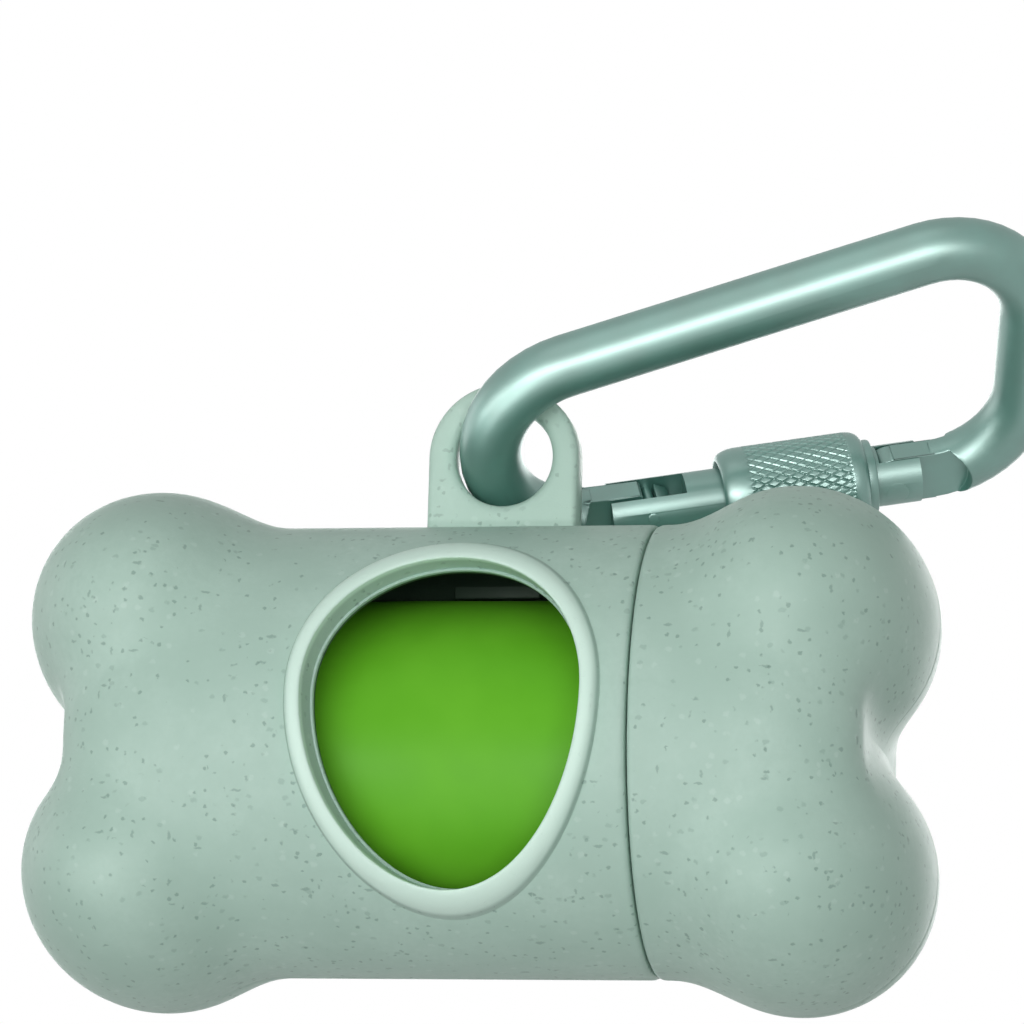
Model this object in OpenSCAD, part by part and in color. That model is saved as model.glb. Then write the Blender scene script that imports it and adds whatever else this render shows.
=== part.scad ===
// Bone-shaped dispenser for rolls of dog waste bags, with a screw-lock carabiner.
// X runs along the bone to its screw cap, the window faces -Y and the lug points up +Z.
// The origin is the hang point: the inner seat of the carabiner's wide bow.

/* [Bone] */
// Outer diameter of the round middle
tube_d = 40.8; // [38:0.2:46]
// Room at the body's end beyond half the roll's length
body_room = 5.5; // [4.6:0.1:12]
// Room at the cap's end beyond half the roll's length
cap_room = 6.1; // [5.4:0.1:12]
// Length of the rounding at each end
end_round_l = 11; // [9:0.5:12]
// Depth of the rounding at each end, towards the axis
end_round_r = 8; // [6:0.5:9]
// Diameter of a lobe, seen from the front
lobe_d = 24.4; // [20:0.1:25]
// Depth of a lobe, from front to back
lobe_depth = 40.2; // [34:0.2:40.4]
// Distance of a lobe's centre from the roll's end, inwards
lobe_inset = 0.9; // [-2:0.1:3]
// Height of a lobe's centre from the axis
lobe_z = 11.4; // [9:0.1:13]
// Thickness of the moulded walls
wall = 1.6; // [1.4:0.05:1.8]
// Distance from the seam to the lobes of the cap
seam_room = 0.6; // [0.2:0.1:1]
// Gap at the seam
seam_gap = 0.2; // [0.1:0.05:0.3]
// Bevel of the two edges at the seam
seam_bevel = 0.4; // [0.2:0.05:0.6]

/* [Window] */
// Distance from the window's rim to the seam
window_room = 1.9; // [1.2:0.1:3]
// Height of the window's widest line
window_z = 2.5; // [0:0.1:4]
// Half of the window's width
window_w = 11.9; // [9:0.1:12.2]
// Height of the window above its widest line
window_up = 11.8; // [9:0.1:12.2]
// Height of the window below its widest line
window_down = 16.5; // [12:0.1:16.8]
// Width of the raised rim
rim_w = 2.1; // [1.6:0.1:2.3]
// Extra width of the rim at its top and bottom
rim_extra = 0.7; // [0:0.1:1]
// How far the rim stands proud
rim_h = 1.3; // [0.8:0.1:1.6]
// Width and depth of the step inside the rim
rim_step = 0.9; // [0.5:0.1:1.1]

/* [Lug] */
// Centre of the lug, along the bone
lug_x = 1.5; // [0:0.1:3]
// Outer radius of the lug
lug_r = 6.9; // [6.2:0.05:7.5]
// Radius of the lug's eye
eye_r = 4.45; // [4.4:0.05:4.8]
// Height of the eye's centre above the axis
eye_z = 26.95; // [26.5:0.05:28]
// Thickness of the lug
lug_t = 3.6; // [3:0.1:3.8]
// Bevel of the eye's edges
eye_bevel = 1.0; // [0.9:0.05:1.2]

/* [Neck and thread] */
// Wall of the cap's ring behind the thread
ring_wall = 0.55; // [0.45:0.05:0.8]
// Thickness of the neck's wall under the thread
neck_wall = 0.9; // [0.8:0.05:1]
// Length of the neck beyond the seam, which is also the cap's travel
neck_l = 6; // [4:0.2:6.4]
// Length of the neck ring's seat inside the body
neck_seat_l = 3.6; // [3:0.2:5.2]
// Advance of the thread in one turn
thread_pitch = 4; // [3:0.5:5]
// Height of the thread
thread_h = 0.6; // [0.4:0.05:0.65]
// Width of the thread's crest
thread_w = 0.7; // [0.5:0.05:0.9]
// Radial clearance between the two threads
thread_gap = 0.25; // [0.2:0.05:0.28]

/* [Roll] */
// Diameter of a full roll of bags
roll_d = 30; // [26:0.2:31]
// Length of the roll
roll_l = 60; // [54:0.5:61]
// Outer diameter of the cardboard core
core_d = 11; // [10:0.5:14]
// Wall of the cardboard core
core_wall = 1; // [0.6:0.1:1.4]
// Gap below the roll, where it lies in the neck
roll_gap = 0.2; // [0.15:0.05:0.3]

/* [Carabiner] */
// Diameter of the carabiner's bar
bar_d = 5.7; // [5:0.1:5.8]
// Outer diameter of the lock sleeve
sleeve_d = 9; // [8.6:0.1:9.6]
// Length of the lock sleeve
sleeve_l = 14.4; // [12:0.2:15]
// Travel of the lock sleeve
sleeve_travel = 10.5; // [6:0.5:10.5]
// Radial clearance of the lock sleeve on the gate
sleeve_gap = 0.15; // [0.1:0.05:0.25]
// Thickness of the two flat tabs at the ends of the bar
tab_t = 2.2; // [1.8:0.1:2.4]
// Clearance of the nose tab in its slot, on each side
nose_gap = 0.3; // [0.2:0.05:0.4]
// Clearance of the hinge tab in its slot, on each side
hinge_gap = 0.1; // [0.08:0.02:0.2]
// Diameter of the hinge pin
hinge_pin_d = 1.8; // [1.6:0.1:2]
// Diameter of the latch pin
latch_pin_d = 1; // [0.8:0.1:1.1]
// Clearance of the latch pin in the nose's notch
latch_gap = 0.15; // [0.1:0.05:0.2]

/* [Hidden] */
$fn = 96;

sage = [0.60, 0.70, 0.64];
sage_dark = [0.50, 0.60, 0.54];
film_green = [0.36, 0.66, 0.14];
card_grey = [0.66, 0.60, 0.50];
anodised = [0.47, 0.62, 0.57];
steel = [0.62, 0.66, 0.66];

far = 200;
body_end_x = roll_l / 2 + body_room;
cap_end_x = roll_l / 2 + cap_room;
lobe_x = roll_l / 2 - lobe_inset;
seam_x = lobe_x - lobe_d / 2 - seam_room;
window_x = seam_x - window_room - rim_w - window_w;
tube_r = tube_d / 2;
chamber_r = tube_r - wall;
crest_r = chamber_r - ring_wall - thread_gap;
neck_r = crest_r - thread_h;
neck_bore_r = neck_r - neck_wall;
cap_minor_r = neck_r + thread_gap;
cap_major_r = crest_r + thread_gap;
body_end = seam_x - seam_gap / 2;
cap_start = seam_x + seam_gap / 2;

// Cradle rib, a bulkhead with the neck's bore
rib_room = 11.5;
rib_x = rib_room - body_end_x;
rib_t = 1.4;
// Locating rib along the top of the back shell, seen over the roll
top_rib_l = 8;
top_rib_t = 1;
top_rib_y = 8.5;
top_rib_shift = 1;

// Cap liner: a plain round cup with its own clearance in the cap
liner_gap = 0.3;
liner_floor = 1.2;
boss_l = 4.3;
liner_start = cap_start + neck_l + 2 * liner_gap;
liner_end = cap_end_x - wall - liner_gap - boss_l;
liner_seat = liner_end - liner_floor;
roll_end_gap = 0.4;
roll_x0 = liner_seat - roll_end_gap - roll_l;
roll_r = roll_d / 2;
roll_z = roll_r + roll_gap - neck_bore_r;

// Carabiner, drawn in its own plane: corners of the bar's centre line and the bends between them
bar_r = bar_d / 2;
gate_v = -10.2;
corners = [[0, 6.6], [0, gate_v], [49.4, gate_v], [50.8, 17.7]];
bends = [9.2, 9, 9, 8.4];
bend_step = 8;
bar_sides = 24;
// Its place in the eye: the apex of the narrow bow from the eye's centre, then the lean
apex_from_eye = [-1.2, -1.5, 1.0];
rise = 10.7;
yaw = 14;
tilt = 54;
// Distances along the gate from the apex of the narrow bow
nose_u = bends[1];
gate_start = 10.7;
latch_u = 14.4;
slot_end_u = 17.8;
sleeve_u = gate_start - 0.1 + sleeve_travel;
hinge_u = 37.3;
gate_end = 39.7;
// The tabs' flats are milled with round cutters, one at each end
nose_cut_r = 5;
nose_cut_u = nose_u + 4;
hinge_cut_r = 3.05;
hinge_cut_u = gate_end + 1.65;
tab_round = 0.2;
tab_h = bar_r - tab_round;
latch_v = 1;
hinge_round = tab_h - 0.05;
hinge_slot_u = hinge_u - hinge_round - hinge_gap;
pin_gap = 0.05;
// The gate's bore holds the spring and its plunger
bore_r = 1.5;
bore_start = 22;
plunger_gap = 0.1;
plunger_l = 5;
spring_wire = 0.4;
spring_turns = 7;

// The hang point lies on the inner side of the wide bow's straight stretch
bow_mid = (bend_end(2) + bend_start(3)) / 2;
bow_dir = unit(corners[3] - corners[2]);
hang_uv = bow_mid + bar_r * [-bow_dir[1], bow_dir[0]];
eye = [lug_x, 0, eye_z];
apex = eye + apex_from_eye;
hang = apex + to_bone([hang_uv[0], hang_uv[1], 0]);

function unit(v) = v / norm(v);
function turn_x(p, a) = [p[0], p[1] * cos(a) - p[2] * sin(a), p[1] * sin(a) + p[2] * cos(a)];
function turn_y(p, a) = [p[0] * cos(a) + p[2] * sin(a), p[1], p[2] * cos(a) - p[0] * sin(a)];
function turn_z(p, a) = [p[0] * cos(a) - p[1] * sin(a), p[0] * sin(a) + p[1] * cos(a), p[2]];
// A point of the carabiner's plane, as a direction in the bone's frame
function to_bone(p) = turn_y(turn_z(turn_x([p[0], -p[2], p[1]], tilt), yaw), -rise);

// Bends of the carabiner's centre line, each a fillet of its corner
function corner(i) = corners[(i + 4) % 4];
function to_last(i) = unit(corner(i - 1) - corner(i));
function to_next(i) = unit(corner(i + 1) - corner(i));
function half_angle(i) = acos(to_last(i) * to_next(i)) / 2;
function bend_start(i) = corner(i) + to_last(i) * bends[i] / tan(half_angle(i));
function bend_end(i) = corner(i) + to_next(i) * bends[i] / tan(half_angle(i));
function bend_centre(i) = corner(i) + unit(to_last(i) + to_next(i)) * bends[i] / sin(half_angle(i));
function bearing(v) = atan2(v[1], v[0]);

// An egg: half an ellipse above the widest line, and a longer half below it
function egg(w, up, down) =
    [for (a = [0 : 5 : 355]) [w * cos(a), (a < 180 ? up : down) * sin(a)]];

// A closed tube of n-sided rings, swept through the given list of rings
module swept(rings) {
    n = len(rings[0]);
    m = len(rings);
    polyhedron(
        points = [for (ring = rings) each ring],
        faces = concat(
            [[for (j = [0 : n - 1]) j]],
            [[for (j = [n - 1 : -1 : 0]) (m - 1) * n + j]],
            [for (i = [0 : m - 2], j = [0 : n - 1])
                [i * n + j, (i + 1) * n + j, (i + 1) * n + (j + 1) % n]],
            [for (i = [0 : m - 2], j = [0 : n - 1])
                [i * n + j, (i + 1) * n + (j + 1) % n, i * n + (j + 1) % n]]));
}

// A right-handed thread about X, from x0 on, as a ridge with sloping flanks
module thread(x0, turns, root_r, crest_r, root_w, crest_w) {
    swept([for (a = [0 : 10 : 360 * turns])
        let (x = x0 + thread_pitch * a / 360)
        [[x + root_w / 2, root_r * cos(a), root_r * sin(a)],
         [x + crest_w / 2, crest_r * cos(a), crest_r * sin(a)],
         [x - crest_w / 2, crest_r * cos(a), crest_r * sin(a)],
         [x - root_w / 2, root_r * cos(a), root_r * sin(a)]]]);
}

// Turns a profile of [radius, x] points about the bone's axis
module turned(profile) {
    rotate([0, 90, 0]) rotate_extrude() polygon(profile);
}

module ring(x0, x1, r_in, r_out) {
    turned([[r_in, x0], [r_out, x0], [r_out, x1], [r_in, x1]]);
}

module rod_x(x0, x1, r) {
    translate([x0, 0, 0]) rotate([0, 90, 0]) cylinder(r = r, h = x1 - x0);
}

// The round middle with one rounded end, on the +X side
module tube_half(end_x, shrink, x0, bevel) {
    r = tube_r - shrink;
    x1 = end_x - shrink;
    turned(concat(
        [[0, x0], [r - bevel, x0], [r, x0 + bevel]],
        [for (a = [0 : 7.5 : 90])
            [r - end_round_r * (1 - cos(a)), x1 - end_round_l * (1 - sin(a))]],
        [[0, x1]]));
}

// A lobe is a ball, drawn out from front to back
module lobe(shrink, side) {
    r = lobe_d / 2 - shrink;
    translate([lobe_x, 0, side * lobe_z]) scale([1, (lobe_depth / 2 - shrink) / r, 1]) sphere(r);
}

// One end of the bone: half of the tube and its two lobes, joined one after the other
module bone_end(end_x, shrink, x0, bevel) {
    union() {
        union() {
            tube_half(end_x, shrink, x0, bevel);
            lobe(shrink, 1);
        }
        lobe(shrink, -1);
    }
}

module front_half() {
    intersection() {
        children();
        translate([-far / 2, -far, -far / 2]) cube(far);
    }
}

module back_half() {
    intersection() {
        children();
        translate([-far / 2, 0, -far / 2]) cube(far);
    }
}

// The body's tube runs from its seam with the cap to its own end, on the -X side
module body_solid(shrink, past, bevel) {
    mirror([1, 0, 0]) bone_end(body_end_x, shrink, -body_end - past, bevel);
}

module body_shell() {
    difference() {
        body_solid(0, 0, seam_bevel);
        difference() {
            body_solid(wall, 1, 0);
            translate([rib_x, 0, 0]) ring(0, rib_t, neck_bore_r, tube_r + lobe_d);
        }
    }
}

module window_prism(side, ends) {
    translate([window_x, 0, window_z]) rotate([90, 0, 0])
        linear_extrude(tube_d) polygon(egg(window_w + side, window_up + ends, window_down + ends));
}

module window_rim() {
    difference() {
        intersection() {
            window_prism(rim_w, rim_w + rim_extra);
            rod_x(-body_end_x, seam_x - 1, tube_r + rim_h);
        }
        rod_x(-body_end_x - 1, seam_x, chamber_r + wall / 2);
    }
}

module window_cut() {
    window_prism(0, 0);
    difference() {
        window_prism(rim_step, rim_step);
        rod_x(-body_end_x, seam_x, tube_r + rim_h - rim_step);
    }
}

module body_front_shell() {
    color(sage) placed() difference() {
        union() {
            front_half() body_shell();
            window_rim();
        }
        window_cut();
    }
}

module lug_plate() {
    translate([lug_x, lug_t / 2, 0]) rotate([90, 0, 0]) linear_extrude(lug_t) union() {
        translate([0, eye_z]) circle(lug_r);
        translate([-lug_r, 0]) square([2 * lug_r, eye_z]);
    }
}

module eye_cut() {
    translate(eye) rotate([90, 0, 0]) {
        cylinder(r = eye_r, h = 2 * lug_t, center = true);
        for (side = [0, 180]) rotate([side, 0, 0]) translate([0, 0, lug_t / 2 - eye_bevel])
            cylinder(r1 = eye_r, r2 = eye_r + 2 * eye_bevel, h = 2 * eye_bevel);
    }
}

module body_back_shell() {
    color(sage) placed() union() {
        back_half() body_shell();
        difference() {
            lug_plate();
            front_half() rod_x(-body_end_x, seam_x, tube_r);
            rod_x(-body_end_x, seam_x, tube_r - wall / 2);
            eye_cut();
        }
        top_rib();
    }
}

// The rib stands down from the chamber's wall, between the lug and the roll
module top_rib() {
    top = sqrt(pow(chamber_r + wall / 2, 2) - pow(top_rib_y, 2));
    translate([window_x - top_rib_l / 2 - top_rib_shift, top_rib_y, top - 2 * top_rib_t])
        cube([top_rib_l, top_rib_t, 2 * top_rib_t]);
}

module neck_ring() {
    neck_end = cap_start + neck_l;
    color(sage_dark) placed() difference() {
        union() {
            ring(body_end - neck_seat_l, body_end, neck_bore_r - 1, chamber_r);
            ring(body_end - 1, neck_end, neck_bore_r - 1, neck_r);
            thread(cap_start + thread_pitch / 4, 1, neck_r - 0.2, crest_r,
                   thread_w + 2 * thread_h, thread_w);
        }
        rod_x(0, cap_end_x, neck_bore_r);
    }
}

module cap_shell() {
    difference() {
        bone_end(cap_end_x, 0, cap_start, seam_bevel);
        bone_end(cap_end_x, wall, cap_start - 1, 0);
    }
}

module cap_front_shell() {
    color(sage) placed() front_half() cap_shell();
}

module cap_back_shell() {
    color(sage) placed() back_half() cap_shell();
}

// The groove follows the neck's own thread, wider by the clearance, right through the ring
module cap_thread_ring() {
    start_turns = 1;
    color(sage_dark) placed() difference() {
        ring(cap_start, cap_start + neck_l, cap_minor_r, chamber_r);
        thread(cap_start + thread_pitch / 4 - start_turns * thread_pitch, start_turns + 2,
               cap_minor_r - 0.4, cap_major_r,
               thread_w + 2 * thread_h + 4 * thread_gap, thread_w + 2 * thread_gap);
    }
}

// Follows the cap's inside at its own gap, and its bore is the neck's
module cap_liner() {
    color(sage_dark) placed() union() {
        difference() {
            intersection() {
                tube_half(cap_end_x, wall + liner_gap, liner_start, 0);
                rod_x(liner_start, liner_end, tube_r);
            }
            rod_x(liner_start - 1, liner_seat, neck_bore_r);
        }
        rod_x(liner_seat, liner_end + boss_l, core_d / 2);
    }
}

module roll_core() {
    color(card_grey) placed() translate([0, 0, roll_z]) difference() {
        rod_x(roll_x0, roll_x0 + roll_l, core_d / 2);
        rod_x(roll_x0 - 1, roll_x0 + roll_l + 1, core_d / 2 - core_wall);
    }
}

module bag_roll() {
    color(film_green) placed() translate([0, 0, roll_z]) difference() {
        rod_x(roll_x0, roll_x0 + roll_l, roll_r);
        rod_x(roll_x0 - 1, roll_x0 + roll_l + 1, core_d / 2);
    }
}

module placed() {
    translate(-hang) children();
}

// Brings the carabiner's plane (x along it, y across, z its normal) to its place in the eye
module in_plane() {
    placed() translate(apex) rotate([0, -rise, 0]) rotate([0, 0, yaw]) rotate([tilt, 0, 0])
        rotate([90, 0, 0]) children();
}

// Along the gate's line: x from the apex, y from the gate's axis
module on_gate() {
    in_plane() translate([0, gate_v, 0]) children();
}

// The bar's rings round bend i, from its end on the gate's side or on the last bend's side
function bend_rings(i) =
    let (c = bend_centre(i), first = bearing(bend_end(i) - c), turn = 180 - 2 * half_angle(i),
         steps = ceil(turn / bend_step))
    [for (k = [0 : steps])
        let (a = first - turn * k / steps)
        [for (b = [0 : 360 / bar_sides : 359])
            let (r = bends[i] + bar_r * cos(b))
            [c[0] + r * cos(a), c[1] + r * sin(a), bar_r * sin(b)]]];

// The bent bar, from the nose round the narrow bow, the spine and the wide bow to the hinge
module bent_bar() {
    swept([for (i = [1, 0, 3, 2]) each bend_rings(i)]);
}

// A flat tab milled on the bar's end, from its outline
module tab(outline) {
    intersection() {
        translate([0, 0, -tab_t / 2]) linear_extrude(tab_t) polygon(outline);
        translate([nose_u - 1, 0, 0]) rotate([0, 90, 0]) cylinder(r = bar_r, h = corners[2][0]);
    }
}

module pin_hole(u, v, r) {
    translate([u, v, 0]) cylinder(r = r, h = 2 * bar_d, center = true);
}

// The nose ends in a hook: a notch open to the inside, and a lip past it, hold the latch pin
module nose_hook() {
    notch = latch_pin_d / 2 + latch_gap;
    difference() {
        tab([[nose_u - 0.5, -tab_h], [nose_u - 0.5, tab_h], [latch_u - notch - 0.3, tab_h],
             [latch_u - notch, tab_h - 0.3], [latch_u - notch, latch_v], [latch_u + notch, latch_v],
             [latch_u + notch, tab_h - 0.65], [latch_u + notch + 1.1, tab_h - 1.25],
             [latch_u + notch + 1.6, 0.4], [latch_u + notch + 1.2, -tab_h]]);
        pin_hole(latch_u, latch_v, notch);
    }
}

module hinge_tab() {
    root = bend_start(2)[0] + 0.5;
    difference() {
        union() {
            tab([[hinge_u, -tab_h], [root, -tab_h], [root, tab_h], [hinge_u, tab_h]]);
            translate([hinge_u, 0, 0]) cylinder(r = hinge_round, h = tab_t, center = true);
        }
        pin_hole(hinge_u, 0, hinge_pin_d / 2);
    }
}

// Both flats of one tab, as far as a round cutter at distance u reaches
module milled(u, r) {
    for (side = [0, 180]) rotate([side, 0, 0]) translate([u, 0, tab_t / 2])
        cylinder(r = r, h = bar_d);
}

module carabiner_frame() {
    color(anodised) union() {
        difference() {
            in_plane() bent_bar();
            on_gate() milled(nose_cut_u, nose_cut_r);
            on_gate() milled(hinge_cut_u, hinge_cut_r);
        }
        on_gate() union() {
            nose_hook();
            hinge_tab();
        }
    }
}

module gate_hinge_pin() {
    color(steel) on_gate() translate([hinge_u, 0, 0])
        cylinder(r = hinge_pin_d / 2, h = bar_d - 0.4, center = true);
}

module gate_latch_pin() {
    color(steel) on_gate() translate([latch_u, latch_v, 0])
        cylinder(r = latch_pin_d / 2, h = bar_d - 0.7, center = true);
}

module along_gate(u0, u1, r) {
    translate([u0, 0, 0]) rotate([0, 90, 0]) cylinder(r = r, h = u1 - u0);
}

module gate_slot(u0, u1, gap) {
    w = tab_t + 2 * gap;
    translate([u0, -bar_d, -w / 2]) cube([u1 - u0, 2 * bar_d, w]);
}

module gate_tube() {
    color(anodised) on_gate() difference() {
        along_gate(gate_start, gate_end, bar_r);
        gate_slot(gate_start - 1, slot_end_u, nose_gap);
        gate_slot(hinge_slot_u, gate_end + 1, hinge_gap);
        along_gate(bore_start, hinge_slot_u + 1, bore_r);
        pin_hole(hinge_u, 0, hinge_pin_d / 2 + pin_gap);
        pin_hole(latch_u, latch_v, latch_pin_d / 2);
    }
}

module gate_plunger() {
    tip = hinge_u - hinge_round - plunger_gap;
    color(steel) on_gate() along_gate(tip - plunger_l, tip, bore_r - plunger_gap);
}

module gate_spring() {
    u1 = hinge_u - hinge_round - plunger_gap - plunger_l;
    rise_l = u1 - bore_start - spring_wire;
    coil_r = bore_r - plunger_gap - spring_wire / 2;
    color(steel) on_gate() translate([bore_start + spring_wire / 2, 0, 0])
        swept([for (i = [0 : 12 * spring_turns])
            let (a = 30 * i, x = rise_l * i / (12 * spring_turns))
            [for (b = [0 : 60 : 300])
                [x + spring_wire / 2 * cos(b), (coil_r + spring_wire / 2 * sin(b)) * cos(a),
                 (coil_r + spring_wire / 2 * sin(b)) * sin(a)]]]);
}

// The sleeve: an open mouth and a round shoulder towards the nose, the grip, and a plain collar
module lock_sleeve() {
    r = sleeve_d / 2;
    bore = bar_r + sleeve_gap;
    mouth = bore + 0.4;
    shoulder_r = 0.9;
    shoulder_l = 2;
    collar_r = bore + 0.55;
    collar_l = 0.8;
    collar_x = sleeve_l - collar_l;
    end_l = 1.5;
    color(anodised) on_gate() translate([sleeve_u, 0, 0]) rotate([0, 90, 0]) rotate_extrude()
        polygon(concat(
            [[bore, 1.2], [mouth, 1.2], [mouth, 0]],
            [for (a = [0 : 15 : 90]) [r - shoulder_r * (1 - sin(a)), shoulder_l * (1 - cos(a))]],
            [for (a = [0 : 15 : 90])
                [collar_r + (r - collar_r) * cos(a), collar_x - end_l * (1 - sin(a))]],
            [[collar_r, sleeve_l - 0.2], [collar_r - 0.2, sleeve_l], [bore, sleeve_l]]));
}

body_front_shell();
body_back_shell();
neck_ring();
cap_front_shell();
cap_back_shell();
cap_thread_ring();
cap_liner();
roll_core();
bag_roll();
carabiner_frame();
gate_hinge_pin();
gate_tube();
gate_latch_pin();
gate_plunger();
gate_spring();
lock_sleeve();
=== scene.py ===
import bmesh
import bpy
import math
import numpy as np
from mathutils import Matrix, Vector


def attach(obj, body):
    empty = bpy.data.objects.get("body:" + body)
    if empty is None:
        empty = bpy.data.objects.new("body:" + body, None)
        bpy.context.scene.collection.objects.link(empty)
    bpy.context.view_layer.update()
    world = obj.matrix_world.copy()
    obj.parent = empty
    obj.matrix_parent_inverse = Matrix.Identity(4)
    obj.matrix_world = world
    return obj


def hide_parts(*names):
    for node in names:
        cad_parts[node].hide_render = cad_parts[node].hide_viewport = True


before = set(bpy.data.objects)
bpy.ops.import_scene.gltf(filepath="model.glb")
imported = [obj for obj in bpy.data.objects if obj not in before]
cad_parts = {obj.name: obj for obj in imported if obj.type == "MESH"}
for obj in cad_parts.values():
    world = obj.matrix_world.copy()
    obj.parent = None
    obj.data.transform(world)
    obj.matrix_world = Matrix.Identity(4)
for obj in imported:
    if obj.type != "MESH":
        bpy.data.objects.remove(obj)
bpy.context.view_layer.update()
scene = bpy.context.scene
metres = 0.001  # shapes are worked out in millimetres


# the bone: its middle in the part's frame, its tube with rounded ends, its lobes and its moulded halves
bone = {"centre": (-45.51779, -7.81241, -38.09773), "tubeR": 20.4, "bodyEnd": 35.5, "capEnd": 36.1,
        "roundL": 11.0, "roundR": 8.0, "lobe": (29.1, 11.4), "lobeSize": (12.2, 20.1, 12.2), "soften": 2.6,
        "wall": 1.6, "seam": 16.2, "capStart": 16.4, "lipRound": 0.4, "lipRow": 0.3, "partingDepth": 0.1,
        "partingWidth": 0.5, "rayStart": 20.0, "columns": 128, "rowStep": 0.6, "turnRows": 78}


def inPart(points):  # from the bone's own millimetres to the part's metres
    return (np.asarray(points, float) + np.array(bone["centre"])) * metres


class Clay:  # gathers the points and faces of one piece, in the part's metres
    def __init__(self):
        self.points = []
        self.faces = []
        self.count = 0

    def add(self, points, faces):
        points = np.asarray(points, float)
        self.points.append(points)
        self.faces += [tuple(int(i) + self.count for i in face) for face in faces]
        self.count += len(points)

    def piece(self, name, finish, body, slot, nodes, sharp):
        mesh = bpy.data.meshes.new(name)
        mesh.from_pydata(np.concatenate(self.points).tolist(), [], self.faces)
        tidy = bmesh.new()
        tidy.from_mesh(mesh)
        bmesh.ops.recalc_face_normals(tidy, faces=tidy.faces)
        tidy.to_mesh(mesh)
        tidy.free()
        return finishPiece(name, mesh, finish, body, nodes, sharp)


def finishPiece(name, mesh, finish, body, nodes, sharp):
    mesh.shade_smooth()
    mesh.set_sharp_from_angle(angle=math.radians(sharp))
    piece = bpy.data.objects.new(name, mesh)
    scene.collection.objects.link(piece)
    mesh.materials.clear()
    mesh.materials.append(finish)
    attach(piece, body)
    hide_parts(*nodes)
    return piece


def gridFaces(rows, columns, looped=False, start=0):  # each row is a ring; looped joins the last to the first
    faces = []
    for i in range(rows if looped else rows - 1):
        here, there = start + i * columns, start + (i + 1) % rows * columns
        for j in range(columns):
            after = (j + 1) % columns
            faces.append((here + j, here + after, there + after, there + j))
    return faces


def tubeGap(x, r):
    end = np.where(x < 0, bone["bodyEnd"], bone["capEnd"])
    along = np.maximum(np.abs(x) - (end - bone["roundL"]), 0) / bone["roundL"]
    out = np.maximum(r - (bone["tubeR"] - bone["roundR"]), 0) / bone["roundR"]
    reach = np.hypot(along, out) + 1e-9
    slope = np.hypot(along / bone["roundL"], out / bone["roundR"]) / reach
    return (reach - 1) / np.maximum(slope, 1e-4)


def lobeGap(x, y, z):
    a, b, c = bone["lobeSize"]
    dx = np.abs(x) - bone["lobe"][0]
    dz = np.abs(z) - bone["lobe"][1]
    reach = np.sqrt((dx / a) ** 2 + (y / b) ** 2 + (dz / c) ** 2) + 1e-9
    slope = np.sqrt((dx / a ** 2) ** 2 + (y / b ** 2) ** 2 + (dz / c ** 2) ** 2) / reach
    return (reach - 1) / np.maximum(slope, 1e-4)


def boneGap(p):  # how far a point is outside the bone, about in mm, with tube and lobes run softly together
    tube = tubeGap(p[..., 0], np.hypot(p[..., 1], p[..., 2]))
    lobe = lobeGap(p[..., 0], p[..., 1], p[..., 2])
    near = np.maximum(bone["soften"] - np.abs(tube - lobe), 0) / bone["soften"]
    return np.minimum(tube, lobe) - near ** 2 * bone["soften"] / 4


def onBone(origin, direction, level):  # where each ray comes to that gap, found by halving
    low = np.full(level.shape, 4.0)
    high = np.full(level.shape, 34.0)
    for _ in range(40):
        middle = (low + high) / 2
        inside = boneGap(origin + direction * middle[..., None]) < level
        low = np.where(inside, middle, low)
        high = np.where(inside, high, middle)
    return origin + direction * low[..., None]


# the window: an egg with its blunt end up, how far the shell is cut back under its rim, and how the rim leans
window = {"x": 0.4, "z": 2.5, "w": 11.9, "up": 11.8, "down": 16.5, "cutGrowth": (1.1, 2.2), "endGrowth": 1.33,
          "steps": 240, "wallFrom": 0.22, "wallTo": 0.42, "ridgeShift": (-0.36, 0.16)}


def inEgg(x, z, growth):
    reach = np.where(z > window["z"], window["up"], window["down"]) + growth[1]
    return ((x - window["x"]) / (window["w"] + growth[0])) ** 2 + ((z - window["z"]) / reach) ** 2 < 1


def shellStations(end):  # each ring of rays: where it starts on the axis, its angle to it and its gap
    lip = bone["seam"] if end < 0 else bone["capStart"]
    soft = bone["lipRound"]
    edge = soft + bone["lipRow"]
    run = bone["rayStart"] - end * lip
    steps = int(round(run / bone["rowStep"]))
    straight = [(0.0, -soft), (0.12, -soft * 0.35), (soft, -0.02), (edge, 0.0)]  # the lip's broken edge
    straight += [(edge + (run - edge) * k / steps, 0.0) for k in range(1, steps + 1)]
    rows = [(lip + end * along, 90.0, gap) for along, gap in straight]
    for k in range(1, bone["turnRows"] + 1):
        rows.append((end * bone["rayStart"], 90.0 * (1 - k / (bone["turnRows"] + 0.4)), 0.0))
    x, angle, gap = np.array(rows).T
    return x, np.radians(angle), gap


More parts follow.
